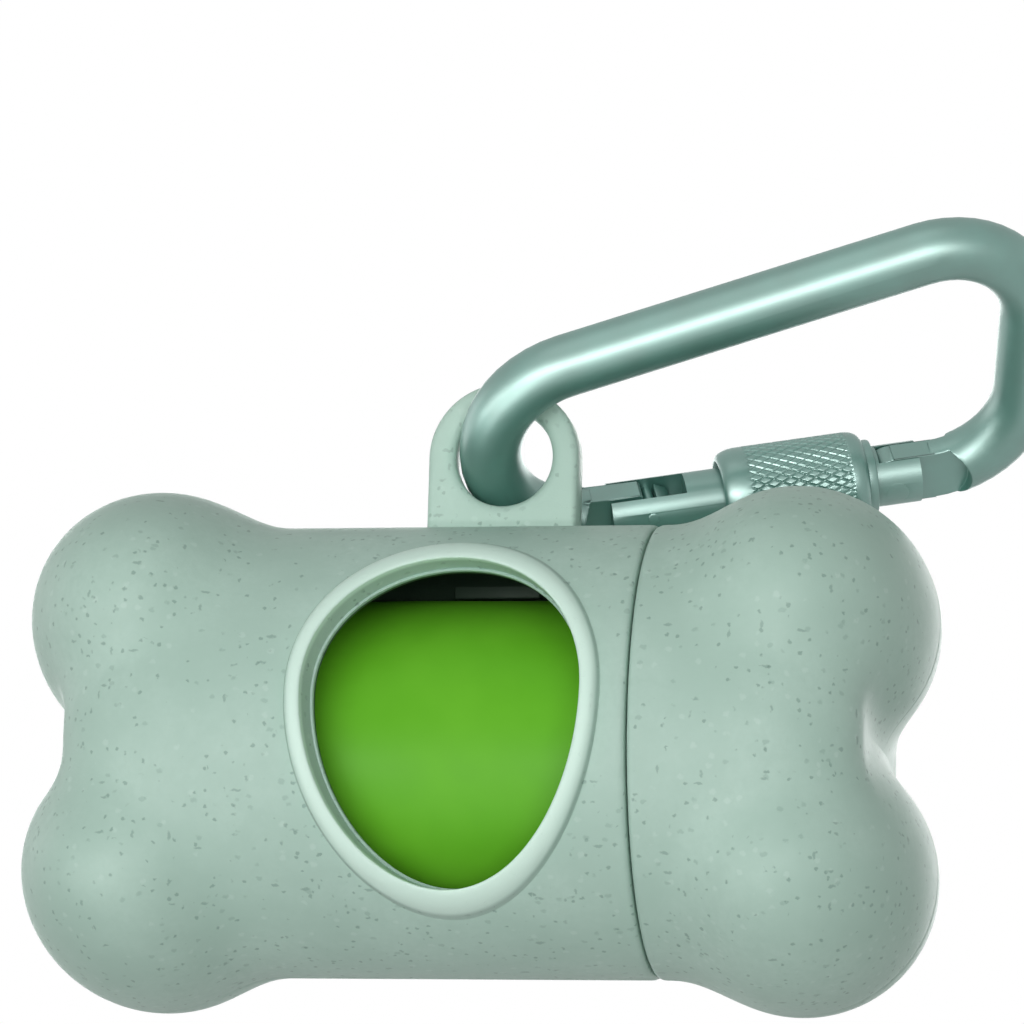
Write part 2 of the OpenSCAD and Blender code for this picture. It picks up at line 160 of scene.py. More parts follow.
def shellFaces(keep):  # both skins where they are kept, and the walls that join their edges
    rows, n = keep.shape
    m = n + 1
    skin = (rows + 1) * m
    faces = []
    for i in range(rows):
        for j in range(n):
            a, b, c, d = i * m + j, i * m + j + 1, (i + 1) * m + j + 1, (i + 1) * m + j
            if keep[i, j]:
                faces += [(a, b, c, d), (skin + d, skin + c, skin + b, skin + a)]
                continue
            for ni, nj, p, q in ((i - 1, j, a, b), (i + 1, j, d, c), (i, j - 1, a, d), (i, j + 1, b, c)):
                if 0 <= ni < rows and 0 <= nj < n and keep[ni, nj]:
                    faces.append((p, q, skin + q, skin + p))
    for j in range(n):
        last = rows * m + j
        faces += [(j, j + 1, skin + j + 1, skin + j), (last, last + 1, 2 * skin),
                  (skin + last + 1, skin + last, 2 * skin + 1)]
    for j in (0, n):
        for i in range(rows):
            faces.append((i * m + j, (i + 1) * m + j, skin + (i + 1) * m + j, skin + i * m + j))
        last = rows * m + j
        faces.append((last, 2 * skin, 2 * skin + 1, skin + last))
    return faces


def shellHalf(clay, end, side):  # end is 1 for the cap and -1 for the body, side is -1 for the front
    x, angle, gap = shellStations(end)
    n = bone["columns"]
    near = bone["partingWidth"] / bone["tubeR"]
    turn = np.concatenate([[0.0], np.linspace(near, math.pi - near, n - 1), [math.pi]])
    parting = np.zeros(n + 1)
    parting[[0, -1]] = -bone["partingDepth"]
    origin = np.zeros((len(x), n + 1, 3))
    origin[..., 0] = x[:, None]
    direction = np.zeros_like(origin)
    direction[..., 0] = (end * np.cos(angle))[:, None]
    direction[..., 1] = side * np.sin(angle)[:, None] * np.sin(turn)[None, :]
    direction[..., 2] = np.sin(angle)[:, None] * np.cos(turn)[None, :]
    outer = onBone(origin, direction, np.minimum(gap[:, None], parting[None, :]))
    inner = onBone(origin, direction, np.full(outer.shape[:2], -bone["wall"]))
    tip = np.array([[end * bone["rayStart"], 0, 0]] * 2, float)
    tips = onBone(tip, np.array([[end, 0, 0]] * 2, float), np.array([0.0, -bone["wall"]]))
    middle = (outer[:-1, :-1] + outer[1:, 1:]) / 2
    keep = np.ones(middle.shape[:2], bool)
    if end < 0 and side < 0:
        keep = ~inEgg(middle[..., 0], middle[..., 2], window["cutGrowth"])
    clay.add(inPart(np.concatenate([outer.reshape(-1, 3), inner.reshape(-1, 3), tips])), shellFaces(keep))


# the raised rim, from its inner lip over the ridge to its foot: off the window's edge, height over the tube
rimProfile = [(0.0, -1.9), (0.0, -1.1), (0.03, -1.0), (0.1, -0.95), (0.22, -0.94), (0.26, -0.55), (0.34, 0.2),
              (0.42, 0.95), (0.44, 1.08), (0.5, 1.18), (0.62, 1.26), (0.85, 1.3), (1.12, 1.29), (1.38, 1.22),
              (1.6, 1.07), (1.76, 0.86), (1.87, 0.6), (1.95, 0.34), (2.01, 0.12), (2.08, -0.02), (2.2, -0.1),
              (2.25, -0.5), (2.25, -1.9)]


def windowRim(clay):  # its ridge sits a little off the opening's middle, so the inner wall leans
    low, high = window["wallFrom"], window["wallTo"]
    points = []
    for k in range(window["steps"]):
        a = 2 * math.pi * k / window["steps"]
        for grow, lift in rimProfile:
            share = min(1.0, max(0.0, (grow - low) / (high - low)))
            reach = (window["up"] if math.sin(a) > 0 else window["down"]) + grow * window["endGrowth"]
            x = window["x"] + (window["w"] + grow) * math.cos(a) + window["ridgeShift"][0] * share
            z = window["z"] + reach * math.sin(a) + window["ridgeShift"][1] * share
            points.append((x, -math.sqrt((bone["tubeR"] + lift) ** 2 - z * z), z))
    clay.add(inPart(points), gridFaces(window["steps"], len(rimProfile), looped=True))


# the lug: a plate with a round top and an eye in it
lug = {"x": 1.5, "eyeZ": 26.95, "r": 6.9, "eyeR": 4.45, "t": 3.6, "eyeRound": 1.0, "edgeRound": 0.7,
       "footZ": 19.7, "topSteps": 72, "sideSteps": 16, "footSteps": 24, "roundSteps": 9}


def lugPlate(clay):
    half = lug["t"] / 2
    foot = lug["footZ"] - lug["eyeZ"]
    corner = math.atan2(foot, lug["r"])
    bends = ((0, math.pi, lug["topSteps"]), (math.pi, math.pi - corner, lug["sideSteps"]),
             (math.pi - corner, 2 * math.pi + corner, lug["footSteps"]),
             (2 * math.pi + corner, 2 * math.pi, lug["sideSteps"]))
    angles = np.concatenate([np.linspace(first, last, steps, endpoint=False) for first, last, steps in bends])
    section = []
    for outer, way, soft in ((0, 1, lug["eyeRound"]), (1, -1, lug["edgeRound"])):
        for a in np.radians(np.linspace(-90, 90, lug["roundSteps"]) * way):
            y = (half - soft) * np.sign(a) + soft * math.sin(a)
            section.append((outer, way * soft * (1 - math.cos(a)), y))
    points = []
    for a in angles:
        c, s = math.cos(a), math.sin(a)
        reach = lug["r"]
        if s < 0:
            reach = min(lug["r"] / max(abs(c), 1e-6), foot / s)
        for outer, shift, y in section:
            r = (reach if outer else lug["eyeR"]) + shift
            points.append((lug["x"] + r * c, y, lug["eyeZ"] + r * s))
    clay.add(inPart(points), gridFaces(len(angles), len(section), looped=True))


rib = {"low": (-4.6, 8.5, 15.66), "high": (3.4, 9.5, 17.66), "round": 0.15}  # inside, behind the lug


def innerRib(clay):
    low, high = np.array(rib["low"]), np.array(rib["high"])
    half = (high - low) / 2
    shape = bmesh.new()
    bmesh.ops.create_cube(shape, size=2.0)
    for v in shape.verts:
        v.co = Vector([v.co[k] * half[k] for k in range(3)])
    edges = list(shape.edges)
    bmesh.ops.bevel(shape, geom=edges, offset=rib["round"], segments=3, profile=0.5, affect="EDGES")
    points = np.array([tuple(v.co) for v in shape.verts]) + (low + high) / 2
    faces = [[v.index for v in f.verts] for f in shape.faces]
    shape.free()
    clay.add(inPart(points), faces)


class Wire:  # one value inside a material, so that its maths reads as plain maths
    def __init__(self, recipe, socket):
        self.recipe = recipe
        self.socket = socket

    def maths(self, operation, first, second):
        return self.recipe.node("ShaderNodeMath", {"operation": operation}, {0: first, 1: second})

    def __add__(self, other):
        return self.maths("ADD", self, other)

    def __sub__(self, other):
        return self.maths("SUBTRACT", self, other)

    def __rsub__(self, other):
        return self.maths("SUBTRACT", other, self)

    def __mul__(self, other):
        return self.maths("MULTIPLY", self, other)

    def __lt__(self, other):
        return self.maths("LESS_THAN", self, other)

    __radd__ = __add__
    __rmul__ = __mul__


class Recipe:  # the nodes of one material, or of the world
    def __init__(self, tree):
        self.tree = tree

    def node(self, kind, settings=None, inputs=None, output=0):
        made = self.tree.nodes.new(kind)
        for key, value in (settings or {}).items():
            setattr(made, key, value)
        for key, value in (inputs or {}).items():
            self.join(value, made.inputs[key])
        return Wire(self, made.outputs[output]) if made.outputs else None

    def join(self, value, socket):
        if isinstance(value, Wire):
            self.tree.links.new(value.socket, socket)
        else:
            socket.default_value = value


class Finish(Recipe):  # one finish of the object: a shader with what varies over its surface
    def __init__(self, name, **fixed):
        self.material = bpy.data.materials.new(name)
        self.material.use_nodes = True
        super().__init__(self.material.node_tree)
        self.shader = self.tree.nodes["Principled BSDF"]
        for key, value in fixed.items():
            self.shader.inputs[key.replace("_", " ")].default_value = value
        where = self.node("ShaderNodeTexCoord", output=3)
        self.place = self.node("ShaderNodeVectorMath", {"operation": "SCALE"}, {0: where, 3: 1 / metres})

    def stretch(self, sizes, shift=(0, 0, 0), place=None):
        place = place or self.place
        sized = self.node("ShaderNodeVectorMath", {"operation": "MULTIPLY"}, {0: place, 1: sizes})
        return self.node("ShaderNodeVectorMath", {"operation": "ADD"}, {0: sized, 1: shift})

    def reach(self, place, ways):  # how far out a place lies, by the ways that are kept
        kept = self.node("ShaderNodeVectorMath", {"operation": "MULTIPLY"}, {0: place, 1: ways})
        return self.node("ShaderNodeVectorMath", {"operation": "LENGTH"}, {0: kept}, output=1)

    def noise(self, scale, detail=2.0, rough=0.5, place=None):
        return self.node("ShaderNodeTexNoise", {}, {"Vector": place or self.place, "Scale": scale,
                                                    "Detail": detail, "Roughness": rough})

    def between(self, value, low, high):  # a smooth step from low to high, as 0 to 1
        return self.node("ShaderNodeMapRange", {"interpolation_type": "SMOOTHSTEP"},
                         {"Value": value, "From Min": low, "From Max": high})

    def blend(self, factor, first, second):
        return self.node("ShaderNodeMix", {"data_type": "RGBA"}, {0: factor, 6: first, 7: second}, output=2)

    def bump(self, height, strength, distance):
        lift = self.node("ShaderNodeBump", {}, {"Height": height, "Strength": strength,
                                                "Distance": distance * metres})
        self.join(lift, self.shader.inputs["Normal"])

    def colour(self, value):
        self.join(value, self.shader.inputs["Base Color"])

    def roughness(self, value):
        self.join(value, self.shader.inputs["Roughness"])


# the moulded plastic: its tones, then where a highlight is painted on the raised rim and lug and where shade
# is painted inside the shell, in mm
plastic = {"pale": (0.445, 0.610, 0.530, 1), "deep": (0.395, 0.555, 0.477, 1),
           "fleck": (0.130, 0.215, 0.180, 1), "fleckFaint": (0.250, 0.375, 0.320, 1),
           # edge: the painted highlight, a paler tone laid over the raised rim and lug
           "chalk": (0.60, 0.74, 0.67, 1), "edge": (0.690, 0.895, 0.790, 1),
           # inside: painted shade, a dark tone laid over the shell's inner surfaces
           "inside": (0.055, 0.100, 0.065, 1), "rough": 0.48, "gloss": 0.14,
           "highlightR": (20.75, 21.3), "highlightX": (13.2, 15.0), "rimHighlight": 0.95, "lugHighlight": 0.23,
           "lugZ": (17.6, 18.6), "innerShadeR": (18.85, 19.05), "innerShadeX": (22.0, 23.0)}

# its flecks: one in some cells of a loose grid, in more cells where they crowd, round or drawn into fibres
flecks = {"dots": {"cell": 0.60, "crowd": 0.36, "always": 0.17, "sizes": (1.0, 1.0, 1.0), "r": 0.27,
                   "shift": (3.1, 0.4, 7.7)},
          "crumbs": {"cell": 0.85, "crowd": 0.38, "always": 0.18, "sizes": (0.8, 1.0, 1.1), "r": 0.25,
                     "shift": (0.0, 9.2, 2.3)},
          "fibres": {"cell": 0.80, "crowd": 0.22, "always": 0.14, "sizes": (0.4, 0.7, 1.2), "r": 0.19,
                     "shift": (5.5, 1.2, 0.3)},
          "strands": {"cell": 0.80, "crowd": 0.18, "always": 0.12, "sizes": (1.2, 0.7, 0.42), "r": 0.18,
                      "shift": (1.5, 6.2, 4.3)},
          "chalk": {"cell": 0.80, "crowd": 0.0, "always": 0.30, "sizes": (0.9, 1.0, 1.0), "r": 0.30,
                    "shift": (8.5, 2.2, 1.3)}}


def fleckLayer(recipe, bent, crowding, kind):
    cells = {"Vector": recipe.stretch(kind["sizes"], kind["shift"], bent), "Scale": 1.0 / kind["cell"],
             "Randomness": 1.0}
    distance = recipe.node("ShaderNodeTexVoronoi", {"feature": "F1"}, cells)
    lot = recipe.node("ShaderNodeTexVoronoi", {"feature": "F1"}, cells, output=1)
    share = kind["always"] + (crowding * kind["crowd"] if kind["crowd"] else 0)
    picked = recipe.node("ShaderNodeSeparateColor", {}, {0: lot}) < share  # the draw of each cell
    return (1 - recipe.between(distance, kind["r"] * 0.5, kind["r"])) * picked


def speckledPlastic(name):  # painted highlight on the raised rim and lug, painted shade inside the shell
    recipe = Finish(name, Roughness=plastic["rough"], Specular_IOR_Level=plastic["gloss"])
    onCentre = recipe.stretch((1.0, 1.0, 1.0), [-value for value in bone["centre"]])
    radius = recipe.reach(onCentre, (0.0, 1.0, 1.0))
    fromMiddle = recipe.reach(onCentre, (1.0, 0.0, 0.0))
    height = recipe.node("ShaderNodeSeparateXYZ", {}, {0: onCentre}, output=2)
    lower = plastic["rimHighlight"] - plastic["lugHighlight"]
    share = recipe.between(height, *plastic["lugZ"]) * -lower + plastic["rimHighlight"]
    aside = recipe.between(fromMiddle, *plastic["highlightX"])
    # painted highlight: the raised rim made paler all round, the lug less, and neither towards the ends
    paintedHighlight = recipe.between(radius, *plastic["highlightR"]) * (1 - aside) * share
    # painted shade: the inner surfaces under that radius darkened, except at the ends
    atEnd = recipe.between(fromMiddle, *plastic["innerShadeX"])
    paintedInnerShade = (1 - recipe.between(radius, *plastic["innerShadeR"])) * (1 - atEnd)
    clouds = recipe.noise(0.11, 3.0, 0.55)
    base = recipe.blend(recipe.between(clouds, 0.30, 0.70), plastic["deep"], plastic["pale"])
    smudge = recipe.noise(0.42, 3.0, 0.6)
    base = recipe.blend(recipe.between(smudge, 0.50, 0.70) * 0.50, base, plastic["deep"])
    grain = recipe.noise(1.5, 4.0, 0.65)
    base = recipe.blend(recipe.between(grain, 0.30, 0.72) * 0.45, base, plastic["deep"])
    ripple = {"Vector": recipe.place, "Scale": 2.4, "Detail": 2.0}
    wobble = recipe.node("ShaderNodeTexNoise", {}, ripple, output=1)
    shaken = {0: 0.32, 4: recipe.place, 5: wobble}
    bent = recipe.node("ShaderNodeMix", {"data_type": "VECTOR"}, shaken, output=1)
    crowding = recipe.between(recipe.noise(0.20, 2.0, 0.6), 0.36, 0.66)
    layers = {kind: fleckLayer(recipe, bent, crowding, flecks[kind]) for kind in flecks}
    base = recipe.blend(layers["chalk"] * 0.22, base, plastic["chalk"])
    base = recipe.blend(layers["crumbs"] * 0.40, base, plastic["fleckFaint"])
    base = recipe.blend(layers["dots"] * 0.48, base, plastic["fleck"])
    base = recipe.blend((layers["fibres"] + layers["strands"]) * 0.42, base, plastic["fleck"])
    # lay the painted highlight over the speckled tones
    base = recipe.blend(paintedHighlight, base, plastic["edge"])
    # lay the painted shade over everything inside the shell
    recipe.colour(recipe.blend(paintedInnerShade, base, plastic["inside"]))
    recipe.roughness(recipe.between(grain, 0.2, 0.8) * 0.12 + (plastic["rough"] - 0.06))
    pits = (layers["dots"] + layers["crumbs"]) * 0.9
    recipe.bump(recipe.noise(2.2, 4.0, 0.7) * 0.9 - pits, 0.30, 0.06)
    return recipe.material


hiddenPlastic = {"deep": (0.28, 0.42, 0.35, 1), "pale": (0.34, 0.49, 0.42, 1), "rough": 0.48}


def innerPlastic():
    recipe = Finish("innerPlastic", Roughness=0.5)
    grain = recipe.noise(2.2, 3.0, 0.6)
    recipe.colour(recipe.blend(recipe.between(grain, 0.3, 0.7), hiddenPlastic["deep"], hiddenPlastic["pale"]))
    recipe.roughness(recipe.between(grain, 0.2, 0.8) * 0.12 + (hiddenPlastic["rough"] - 0.06))
    recipe.bump(grain, 0.08, 0.05)
    return recipe.material


film = {"lit": (0.150, 0.500, 0.026, 1), "deep": (0.120, 0.440, 0.018, 1), "rough": 0.46, "gloss": 0.08}


def bagFilm():
    recipe = Finish("bagFilm", Roughness=film["rough"], Specular_IOR_Level=film["gloss"])
    layers = recipe.noise(1.0, 2.0, 0.5, recipe.stretch((0.12, 0.12, 0.12)))
    recipe.colour(recipe.blend(recipe.between(layers, 0.3, 0.7) * 0.6, film["deep"], film["lit"]))
    recipe.roughness(recipe.between(layers, 0.2, 0.8) * 0.14 + (film["rough"] - 0.06))
    recipe.bump(recipe.noise(1.0, 3.0, 0.5, recipe.stretch((0.35, 0.5, 0.5))), 0.10, 0.10)
    return recipe.material


card = {"deep": (0.46, 0.36, 0.25, 1), "pale": (0.58, 0.48, 0.35, 1), "rough": 0.85}


def rollCard():
    recipe = Finish("rollCard", Roughness=card["rough"])
    fibre = recipe.noise(1.0, 4.0, 0.6, recipe.stretch((0.7, 3.0, 3.0)))
    recipe.colour(recipe.blend(recipe.between(fibre, 0.3, 0.7), card["deep"], card["pale"]))
    recipe.roughness(recipe.between(fibre, 0.2, 0.8) * 0.1 + (card["rough"] - 0.05))
    recipe.bump(fibre, 0.2, 0.08)
    return recipe.material


metal = {"pale": (0.048, 0.190, 0.153, 1), "deep": (0.038, 0.162, 0.128, 1), "rough": 0.42,
         "sleeveRough": 0.38, "bare": 0.35, "index": 2.9}


def anodisedMetal(name, rough):  # a dyed layer over the bare metal
    recipe = Finish(name, Metallic=metal["bare"], Roughness=rough, IOR=metal["index"])
    clouds = recipe.noise(0.25, 2.0, 0.5)
    fine = recipe.noise(9.0, 2.0, 0.6)
    recipe.colour(recipe.blend(recipe.between(clouds, 0.3, 0.7), metal["deep"], metal["pale"]))
    recipe.roughness(recipe.between(fine, 0.2, 0.8) * 0.07 + (rough - 0.03))
    recipe.bump(fine, 0.06, 0.02)
    return recipe.material


steel = {"deep": (0.34, 0.44, 0.41, 1), "pale": (0.46, 0.55, 0.52, 1), "rough": 0.3}


def pinSteel():
    recipe = Finish("pinSteel", Metallic=1.0, Roughness=steel["rough"])
    fine = recipe.noise(6.0, 2.0, 0.6)
    recipe.colour(recipe.blend(recipe.between(fine, 0.3, 0.7), steel["deep"], steel["pale"]))
    recipe.roughness(recipe.between(fine, 0.2, 0.8) * 0.1 + (steel["rough"] - 0.05))
    recipe.bump(fine, 0.05, 0.02)
    return recipe.material


print("materials")
bodyPlastic = speckledPlastic("bodyPlastic")
capPlastic = speckledPlastic("capPlastic")
innerFinish = innerPlastic()
filmFinish = bagFilm()
cardFinish = rollCard()
barFinish = anodisedMetal("barMetal", metal["rough"])
sleeveFinish = anodisedMetal("sleeveMetal", metal["sleeveRough"])
steelFinish = pinSteel()


print("shells of the bone")
clay = Clay()
shellHalf(clay, -1, -1)
windowRim(clay)
clay.piece("bodyFront", bodyPlastic, "dispenser", "speckled_plastic", ["body_front_shell"], sharp=50)
clay = Clay()
shellHalf(clay, -1, 1)
lugPlate(clay)
innerRib(clay)
clay.piece("bodyBack", bodyPlastic, "dispenser", "speckled_plastic", ["body_back_shell"], sharp=50)
for side, name, node in ((-1, "capFront", "cap_front_shell"), (1, "capBack", "cap_back_shell")):
    clay = Clay()
    shellHalf(clay, 1, side)
    clay.piece(name, capPlastic, "cap", "speckled_plastic", [node], sharp=50)


print("roll of bags")
# the roll lies low in the chamber; its film is wound in layers, whose edges step in and out over each end
roll = {"x0": -31.7, "x1": 28.3, "r": 15.0, "z": -1.3, "coreR": 5.5, "turns": 11, "columns": 144,
        "steps": 60, "edges": (0.26, 0.10), "corner": 0.3, "wave": 0.05, "looseStep": 0.06,
        "looseFrom": 1.9, "looseTo": 3.4}


def rollSection():  # out over one end, along the roll and in over the other end
    x0, x1, r = roll["x0"], roll["x1"], roll["r"]
    end = [(x0 + 0.25, roll["coreR"] + 0.02)]
    layers = roll["turns"] * 2
    for k in range(layers):
        out = roll["coreR"] + 0.4 + (r - roll["coreR"] - 0.9) * k / (layers - 1)
        end.append((x0 + roll["edges"][k % 2] + 0.05 * math.sin(k * 1.7), out))
    end += [(x0 + 0.08, r - roll["corner"]), (x0 + roll["corner"], r - 0.05)]
    run = x1 - x0 - 2 * roll["corner"]
    middle = [(x0 + roll["corner"] + run * k / roll["steps"], r) for k in range(1, roll["steps"])]
    return end + middle + [(x1 - (x - x0), out) for x, out in reversed(end)]


def rollFilm():
    section, n = rollSection(), roll["columns"]
    points = []
    for x, r in section:
        for j in range(n):
            a = 2 * math.pi * j / n
            slack = 0.0
            if r > roll["r"] - 0.2:  # the film's own soft waves, and the step of its loose end
                slack = -roll["wave"] * (1 + math.sin(0.21 * x + 2 * a) * math.cos(3 * a - 0.11 * x))
                slack -= roll["looseStep"] if roll["looseFrom"] < a < roll["looseTo"] else 0.0
            points.append((x, (r + slack) * math.sin(a), roll["z"] + (r + slack) * math.cos(a)))
    clay = Clay()
    clay.add(inPart(points), gridFaces(len(section), n, looped=True))
    clay.piece("bagFilmRoll", filmFinish, "roll", "bag_film", ["bag_roll"], sharp=60)


rollFilm()


print("carabiner")
# how the carabiner leans, where it passes the lug's eye, how far the gate lies from its apex, and its bar
hook = {"rise": 10.7, "yaw": 14.0, "tilt": 54.0, "apexFromEye": (-1.2, -1.5, 1.0), "gateV": -10.2,
        "barR": 2.85}


def turnAbout(axis, degrees):
    return np.array(Matrix.Rotation(math.radians(degrees), 3, axis))


lean = turnAbout("Y", -hook["rise"]) @ turnAbout("Z", hook["yaw"]) @ turnAbout("X", hook["tilt"] + 90)
eye = np.array((lug["x"], 0, lug["eyeZ"]))
apex = eye + np.array(hook["apexFromEye"])


def inLoop(points):  # from the carabiner's plane, x along it and y across, to the part
    return inPart(apex + np.asarray(points, float) @ lean.T)


def onGate(points):  # from the gate's own line to the part: u along it, v across the loop, w out of it
    return inLoop(np.asarray(points, float) + np.array((0, hook["gateV"], 0)))


def softEdges(piece, width, clamped):
    bevel = piece.modifiers.new("edges", "BEVEL")
    bevel.width = width * metres
    bevel.segments = 2
    bevel.limit_method = "ANGLE"
    bevel.angle_limit = math.radians(35)
    bevel.use_clamp_overlap = clamped
    weighted = piece.modifiers.new("shading", "WEIGHTED_NORMAL")
    weighted.keep_sharp = False


def machined(name, node, body, width, clamped, covers=()):  # the node itself, its edges broken
    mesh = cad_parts[node].data.copy()
    mesh.name = name
    tidy = bmesh.new()
    tidy.from_mesh(mesh)
    bmesh.ops.remove_doubles(tidy, verts=tidy.verts, dist=1e-6)
    bmesh.ops.dissolve_limit(tidy, angle_limit=math.radians(0.5), verts=tidy.verts, edges=tidy.edges)
    for points, faces in covers:
        added = [tidy.verts.new(point) for point in points]
        for face in faces:
            tidy.faces.new([added[i] for i in face])
    bmesh.ops.recalc_face_normals(tidy, faces=tidy.faces)
    tidy.to_mesh(mesh)
    tidy.free()
    softEdges(finishPiece(name, mesh, barFinish, body, [node], sharp=30), width, clamped)


latchPin = {"u": 14.4, "v": 1.0, "r": 0.5, "proud": 0.07}
hingePin = {"u": 37.3, "v": 0.0, "r": 0.9, "proud": -0.35}

# each disc over the hinge pin's ends, by the radius of its rings and their height over the gate's line
dressed = {"rings": ((0.3, 2.853), (0.7, 2.853), (1.0, 2.853), (1.1, 2.85), (1.1, 2.79), (0.5, 2.79)),
           "columns": 32}


def dressedEnds():  # the hinge pin's ends are closed over, flush with the gate
    rings, n = dressed["rings"], dressed["columns"]
    points, faces = [], []
    for way in (1, -1):
        start = len(points)
        for r, w in rings:
            for j in range(n):
                a = 2 * math.pi * j / n
                v = r * math.sin(a)
                points.append((hingePin["u"] + r * math.cos(a), v, way * math.sqrt(w * w - v * v)))
        last = len(points) - n
        faces += gridFaces(len(rings), n, start=start)
        faces += [tuple(range(start, start + n)), tuple(range(last, last + n))]
    return onGate(points), faces


web = {"from": 34.4, "to": 35.9, "r": 2.84, "under": 2.69, "half": 1.25, "steps": 9}


def slotWeb():  # closes the gate's slot over the end of the hinge tab
    edge = math.asin(web["half"] / web["r"])
    turns = np.linspace(-edge, edge, web["steps"])
    ring = [(r, a) for r, way in ((web["r"], 1), (web["under"], -1)) for a in turns[::way]]
    points = [(u, r * math.cos(a), r * math.sin(a)) for u in (web["from"], web["to"]) for r, a in ring]
    n = len(ring)
    faces = gridFaces(2, n) + [tuple(range(n)), tuple(range(n, 2 * n))]
    return onGate(points), faces


machined("loopBar", "carabiner_frame", "carabiner", 0.09, False)
machined("gateBarrel", "gate_tube", "gate", 0.07, True, covers=(slotWeb(), dressedEnds()))


# the lock sleeve, along the gate from its open mouth to its collar, and its grip of slanting grooves
sleeve = {"u": 21.1, "l": 14.4, "r": 4.5, "bore": 3.0, "mouth": 3.4, "mouthL": 1.2, "shoulderR": 0.9,
          "shoulderL": 2.0, "collarR": 3.55, "collarL": 0.8, "endL": 1.5, "gripFrom": 2.4, "gripTo": 12.1,
          "gripDepth": 0.11, "gripEase": 0.3, "teeth": 36, "slant": 27.0, "groove": 0.17, "gripRows": 130,
          "columns": 504}


def knurl(u, a):  # two sets of slanting grooves, which leave long diamonds between them
    pitch = 2 * math.pi * sleeve["r"] / sleeve["teeth"]
    along = u * math.tan(math.radians(sleeve["slant"])) / pitch
    depth = 0.0
    for way in (-1, 1):
        part = (a / (2 * math.pi) * sleeve["teeth"] + way * along) % 1.0
        depth = max(depth, 1 - abs(part - 0.5) / sleeve["groove"])
    return depth


def sleeveSection():  # along the outside from the mouth, back through the bore; 1 marks where the grip is cut
    s = sleeve
    quarter = [math.radians(a) for a in range(0, 91, 10)]
    shoulder = [(s["shoulderL"] * (1 - math.cos(a)), s["r"] - s["shoulderR"] * (1 - math.sin(a)), 0)
                for a in quarter]
    run = s["gripTo"] - s["gripFrom"]
    grip = [(s["gripFrom"] + run * k / s["gripRows"], s["r"], 1) for k in range(s["gripRows"] + 1)]
    collarU, drop = s["l"] - s["collarL"], s["r"] - s["collarR"]
    ending = [(collarU - s["endL"] * (1 - math.sin(a)), s["collarR"] + drop * math.cos(a), 0)
              for a in quarter]
    collar = [(collarU + 0.1, s["collarR"] - 0.01, 0), (s["l"] - 0.2, s["collarR"] - 0.01, 0),
              (s["l"] - 0.05, s["collarR"] - 0.08, 0), (s["l"], s["collarR"] - 0.2, 0),
              (s["l"], s["bore"], 0)]
    inside = [(s["mouthL"], s["bore"], 0), (s["mouthL"], s["mouth"] - 0.05, 0),
              (s["mouthL"] - 0.1, s["mouth"], 0), (0.12, s["mouth"], 0), (0.0, s["mouth"] + 0.08, 0)]
    return shoulder + grip + ending + collar + inside


def lockSleeve():
    s, section, n = sleeve, sleeveSection(), sleeve["columns"]
    points = []
    for u, r, cut in section:
        ease = min(1.0, (u - s["gripFrom"]) / s["gripEase"], (s["gripTo"] - u) / s["gripEase"])
        for j in range(n):
            a = 2 * math.pi * j / n
            deep = s["gripDepth"] * ease * max(0.0, knurl(u, a)) if cut else 0.0
            points.append((s["u"] + u, (r - deep) * math.cos(a), (r - deep) * math.sin(a)))
    clay = Clay()
    clay.add(onGate(points), gridFaces(len(section), n, looped=True))
    clay.piece("knurledSleeve", sleeveFinish, "sleeve", "green_anodised", ["lock_sleeve"], sharp=38)


lockSleeve()


# a rivet's rings from the middle of its end outwards: share of its radius, share of its reach
rivetEnd = {"rings": ((0.3, 1.0), (0.6, 1.0), (0.8, 1.0), (0.94, 1.0), (1.0, 0.985), (1.0, 0.99)),
            "columns": 40}


def rivet(name, node, pin, body):  # its ends are dressed to the round of the gate
    rings, n = rivetEnd["rings"], rivetEnd["columns"]
    points = []
    for way in (1, -1):
        for share, drop in rings[::way]:
            for j in range(n):
                a = 2 * math.pi * j / n
                r = pin["r"] * share
                v = pin["v"] + r * math.sin(a)
                w = math.sqrt((hook["barR"] + pin["proud"]) ** 2 - v * v) * drop
                points.append((pin["u"] + r * math.cos(a), v, way * w))
    rows = 2 * len(rings)
    ends = [tuple(range(n)), tuple(range((rows - 1) * n, rows * n))]
    clay = Clay()
    clay.add(onGate(points), gridFaces(rows, n) + ends)
    clay.piece(name, barFinish, body, "pin_steel", [node], sharp=45)


rivet("latchRivet", "gate_latch_pin", latchPin, "gate")
rivet("hingeRivet", "gate_hinge_pin", hingePin, "carabiner")


print("inner parts")
for node, finish in (("neck_ring", innerFinish), ("cap_thread_ring", innerFinish), ("cap_liner", innerFinish),
                     ("roll_core", cardFinish), ("gate_plunger", steelFinish), ("gate_spring", steelFinish)):
    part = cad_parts[node]
    part.data.materials.clear()
    part.data.materials.append(finish)


print("camera, floor and lamps")
# where the camera stands, in mm and degrees, and the pixel that the bone's middle falls on
view = {"turn": 10.5, "below": 11.0, "bank": 1.45, "distance": 480.0, "scale": 11.08,
        "bonePixel": (482.2, 752.7), "frame": 1024, "sensor": 36.0}


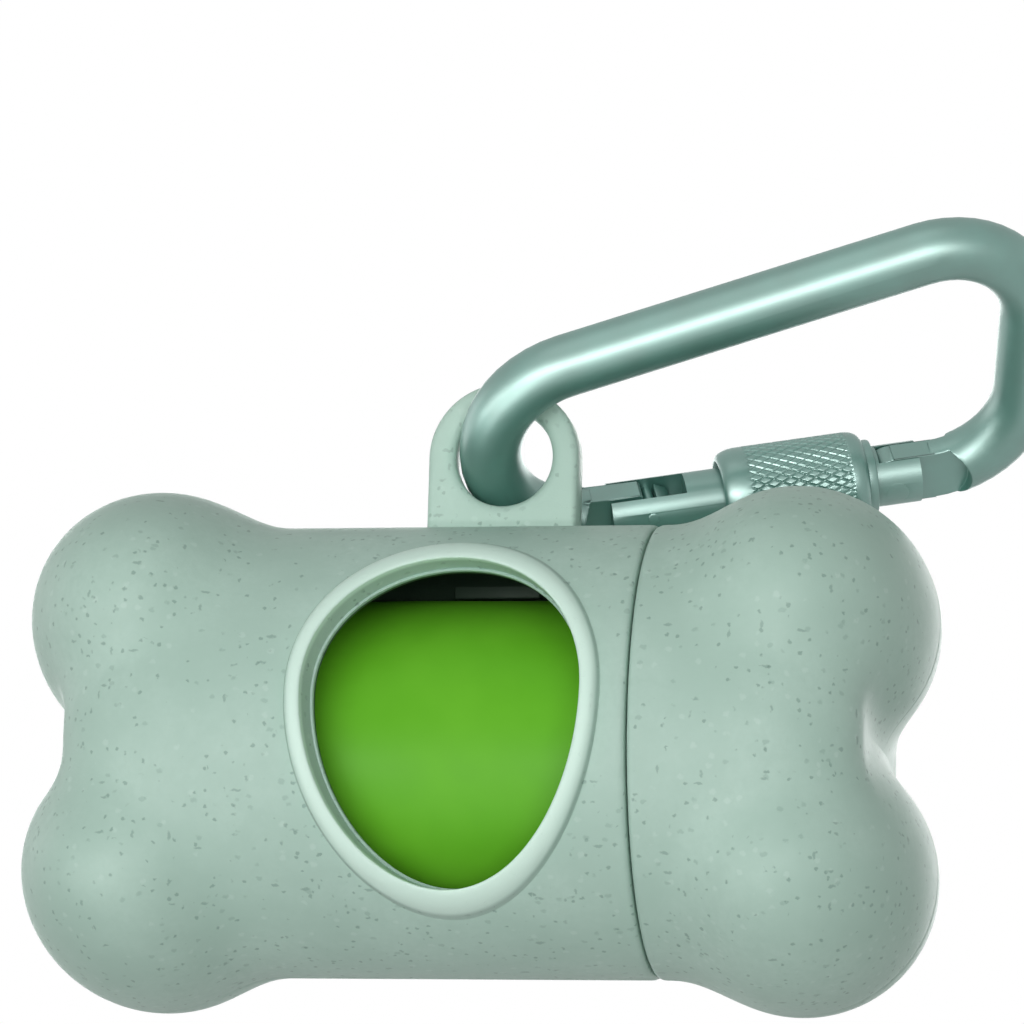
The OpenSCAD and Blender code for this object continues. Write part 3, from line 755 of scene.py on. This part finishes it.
def placeCamera():
    turn, below, bank = (math.radians(view[angle]) for angle in ("turn", "below", "bank"))
    ahead = Vector((-math.sin(turn) * math.cos(below), math.cos(turn) * math.cos(below), math.sin(below)))
    level = Vector((math.cos(turn), math.sin(turn), 0))
    upright = level.cross(ahead)
    right = level * math.cos(bank) + upright * math.sin(bank)
    up = upright * math.cos(bank) - level * math.sin(bank)
    offX = (view["bonePixel"][0] - view["frame"] / 2) / view["scale"]
    offY = -(view["bonePixel"][1] - view["frame"] / 2) / view["scale"]
    stand = Vector(bone["centre"]) - right * offX - up * offY - ahead * view["distance"]
    camera = bpy.data.objects.new("camera", bpy.data.cameras.new("camera"))
    scene.collection.objects.link(camera)
    camera.data.sensor_width = view["sensor"]
    camera.data.lens = view["distance"] * view["scale"] / view["frame"] * view["sensor"]
    camera.data.clip_start, camera.data.clip_end = 0.01, 20
    facing = Matrix(((right.x, up.x, -ahead.x), (right.y, up.y, -ahead.y), (right.z, up.z, -ahead.z)))
    camera.matrix_world = Matrix.Translation(stand * metres) @ facing.to_4x4()
    scene.camera = camera


placeCamera()


def seenAsWhite(recipe):  # 1 for the eye, gloss and glass
    rays = [recipe.node("ShaderNodeLightPath", output=ray)
            for ray in ("Is Camera Ray", "Is Glossy Ray", "Is Transmission Ray")]
    eyeOrGloss = rays[0].maths("MAXIMUM", rays[0], rays[1])
    return eyeOrGloss.maths("MAXIMUM", eyeOrGloss, rays[2])


floor = {"z": -0.24, "half": 1.5, "white": 0.95, "tone": (0.56, 0.56, 0.56, 1)}  # in metres


def paleFloor():  # mostly white to the eye and in gloss, and the rest a plain surface that takes the shadow
    material = bpy.data.materials.new("paleFloor")
    material.use_nodes = True
    material.node_tree.nodes.clear()
    recipe = Recipe(material.node_tree)
    glow = recipe.node("ShaderNodeEmission", {}, {"Color": (1, 1, 1, 1), "Strength": 1.0})
    dull = recipe.node("ShaderNodeBsdfDiffuse", {}, {"Color": floor["tone"]})
    share = seenAsWhite(recipe) * floor["white"]
    surface = recipe.node("ShaderNodeMixShader", {}, {0: share, 1: dull, 2: glow})
    recipe.node("ShaderNodeOutputMaterial", {}, {"Surface": surface})
    return material


def layFloor():
    half, z = floor["half"], floor["z"]
    mesh = bpy.data.meshes.new("floor")
    corners = [(-half, -half, z), (half, -half, z), (half, half, z), (-half, half, z)]
    mesh.from_pydata(corners, [], [(0, 1, 2, 3)])
    mesh.materials.append(paleFloor())
    plane = bpy.data.objects.new("floor", mesh)
    scene.collection.objects.link(plane)


layFloor()


sky = {"seen": 1.0, "lit": 0.18}  # white to the eye, and a low fill on the object


def openSky():
    world = bpy.data.worlds.new("studio")
    scene.world = world
    world.use_nodes = True
    world.node_tree.nodes.clear()
    recipe = Recipe(world.node_tree)
    seen = recipe.node("ShaderNodeBackground", {}, {"Color": (1, 1, 1, 1), "Strength": sky["seen"]})
    lit = recipe.node("ShaderNodeBackground", {}, {"Color": (1, 1, 1, 1), "Strength": sky["lit"]})
    surface = recipe.node("ShaderNodeMixShader", {}, {0: seenAsWhite(recipe), 1: lit, 2: seen})
    recipe.node("ShaderNodeOutputWorld", {}, {"Surface": surface})


openSky()


# the lamps, in metres and watts; the glints show in gloss only, as the long highlights along the bar
middle = (-0.035, -0.01, -0.03)
lamps = {"frontBox": {"at": (-0.05, -0.80, -0.10), "wide": 0.90, "high": 0.20, "watts": 4.5},
         "topBox": {"at": (-0.15, -0.45, 0.55), "wide": 0.50, "high": 0.50, "watts": 0.7},
         "backBox": {"at": (-0.05, 0.80, 0.12), "wide": 0.90, "high": 0.40, "watts": 4.2},
         "leftBox": {"at": (-0.78, 0.25, 0.08), "wide": 0.45, "high": 0.45, "watts": 1.0},
         "rightBox": {"at": (0.70, 0.40, 0.10), "wide": 0.45, "high": 0.45, "watts": 0.6}}
glints = {"glintFront": {"at": (-0.06, -0.84, -0.19), "wide": 1.05, "high": 0.20, "watts": 6.0},
          "glintLeft": {"at": (-0.64, -0.40, -0.23), "wide": 0.50, "high": 0.30, "watts": 4.0},
          "glintLow": {"at": (-0.14, -0.22, -0.235), "wide": 0.26, "high": 0.20, "watts": 0.9,
                       "aim": (0.0, 0.0, 0.0)}}


def softbox(name, at, wide, high, watts, aim=middle, glossOnly=False):
    data = bpy.data.lights.new(name, "AREA")
    data.shape = "RECTANGLE"
    data.size, data.size_y = wide, high
    data.energy = watts
    lamp = bpy.data.objects.new(name, data)
    scene.collection.objects.link(lamp)
    lamp.location = at
    lamp.rotation_euler = (Vector(aim) - Vector(at)).to_track_quat("-Z", "Y").to_euler()
    lamp.visible_camera = False
    lamp.visible_diffuse = not glossOnly


for name, lamp in lamps.items():
    softbox(name, **lamp)
for name, lamp in glints.items():
    softbox(name, **lamp, glossOnly=True)
scene.view_settings.view_transform = "Standard"
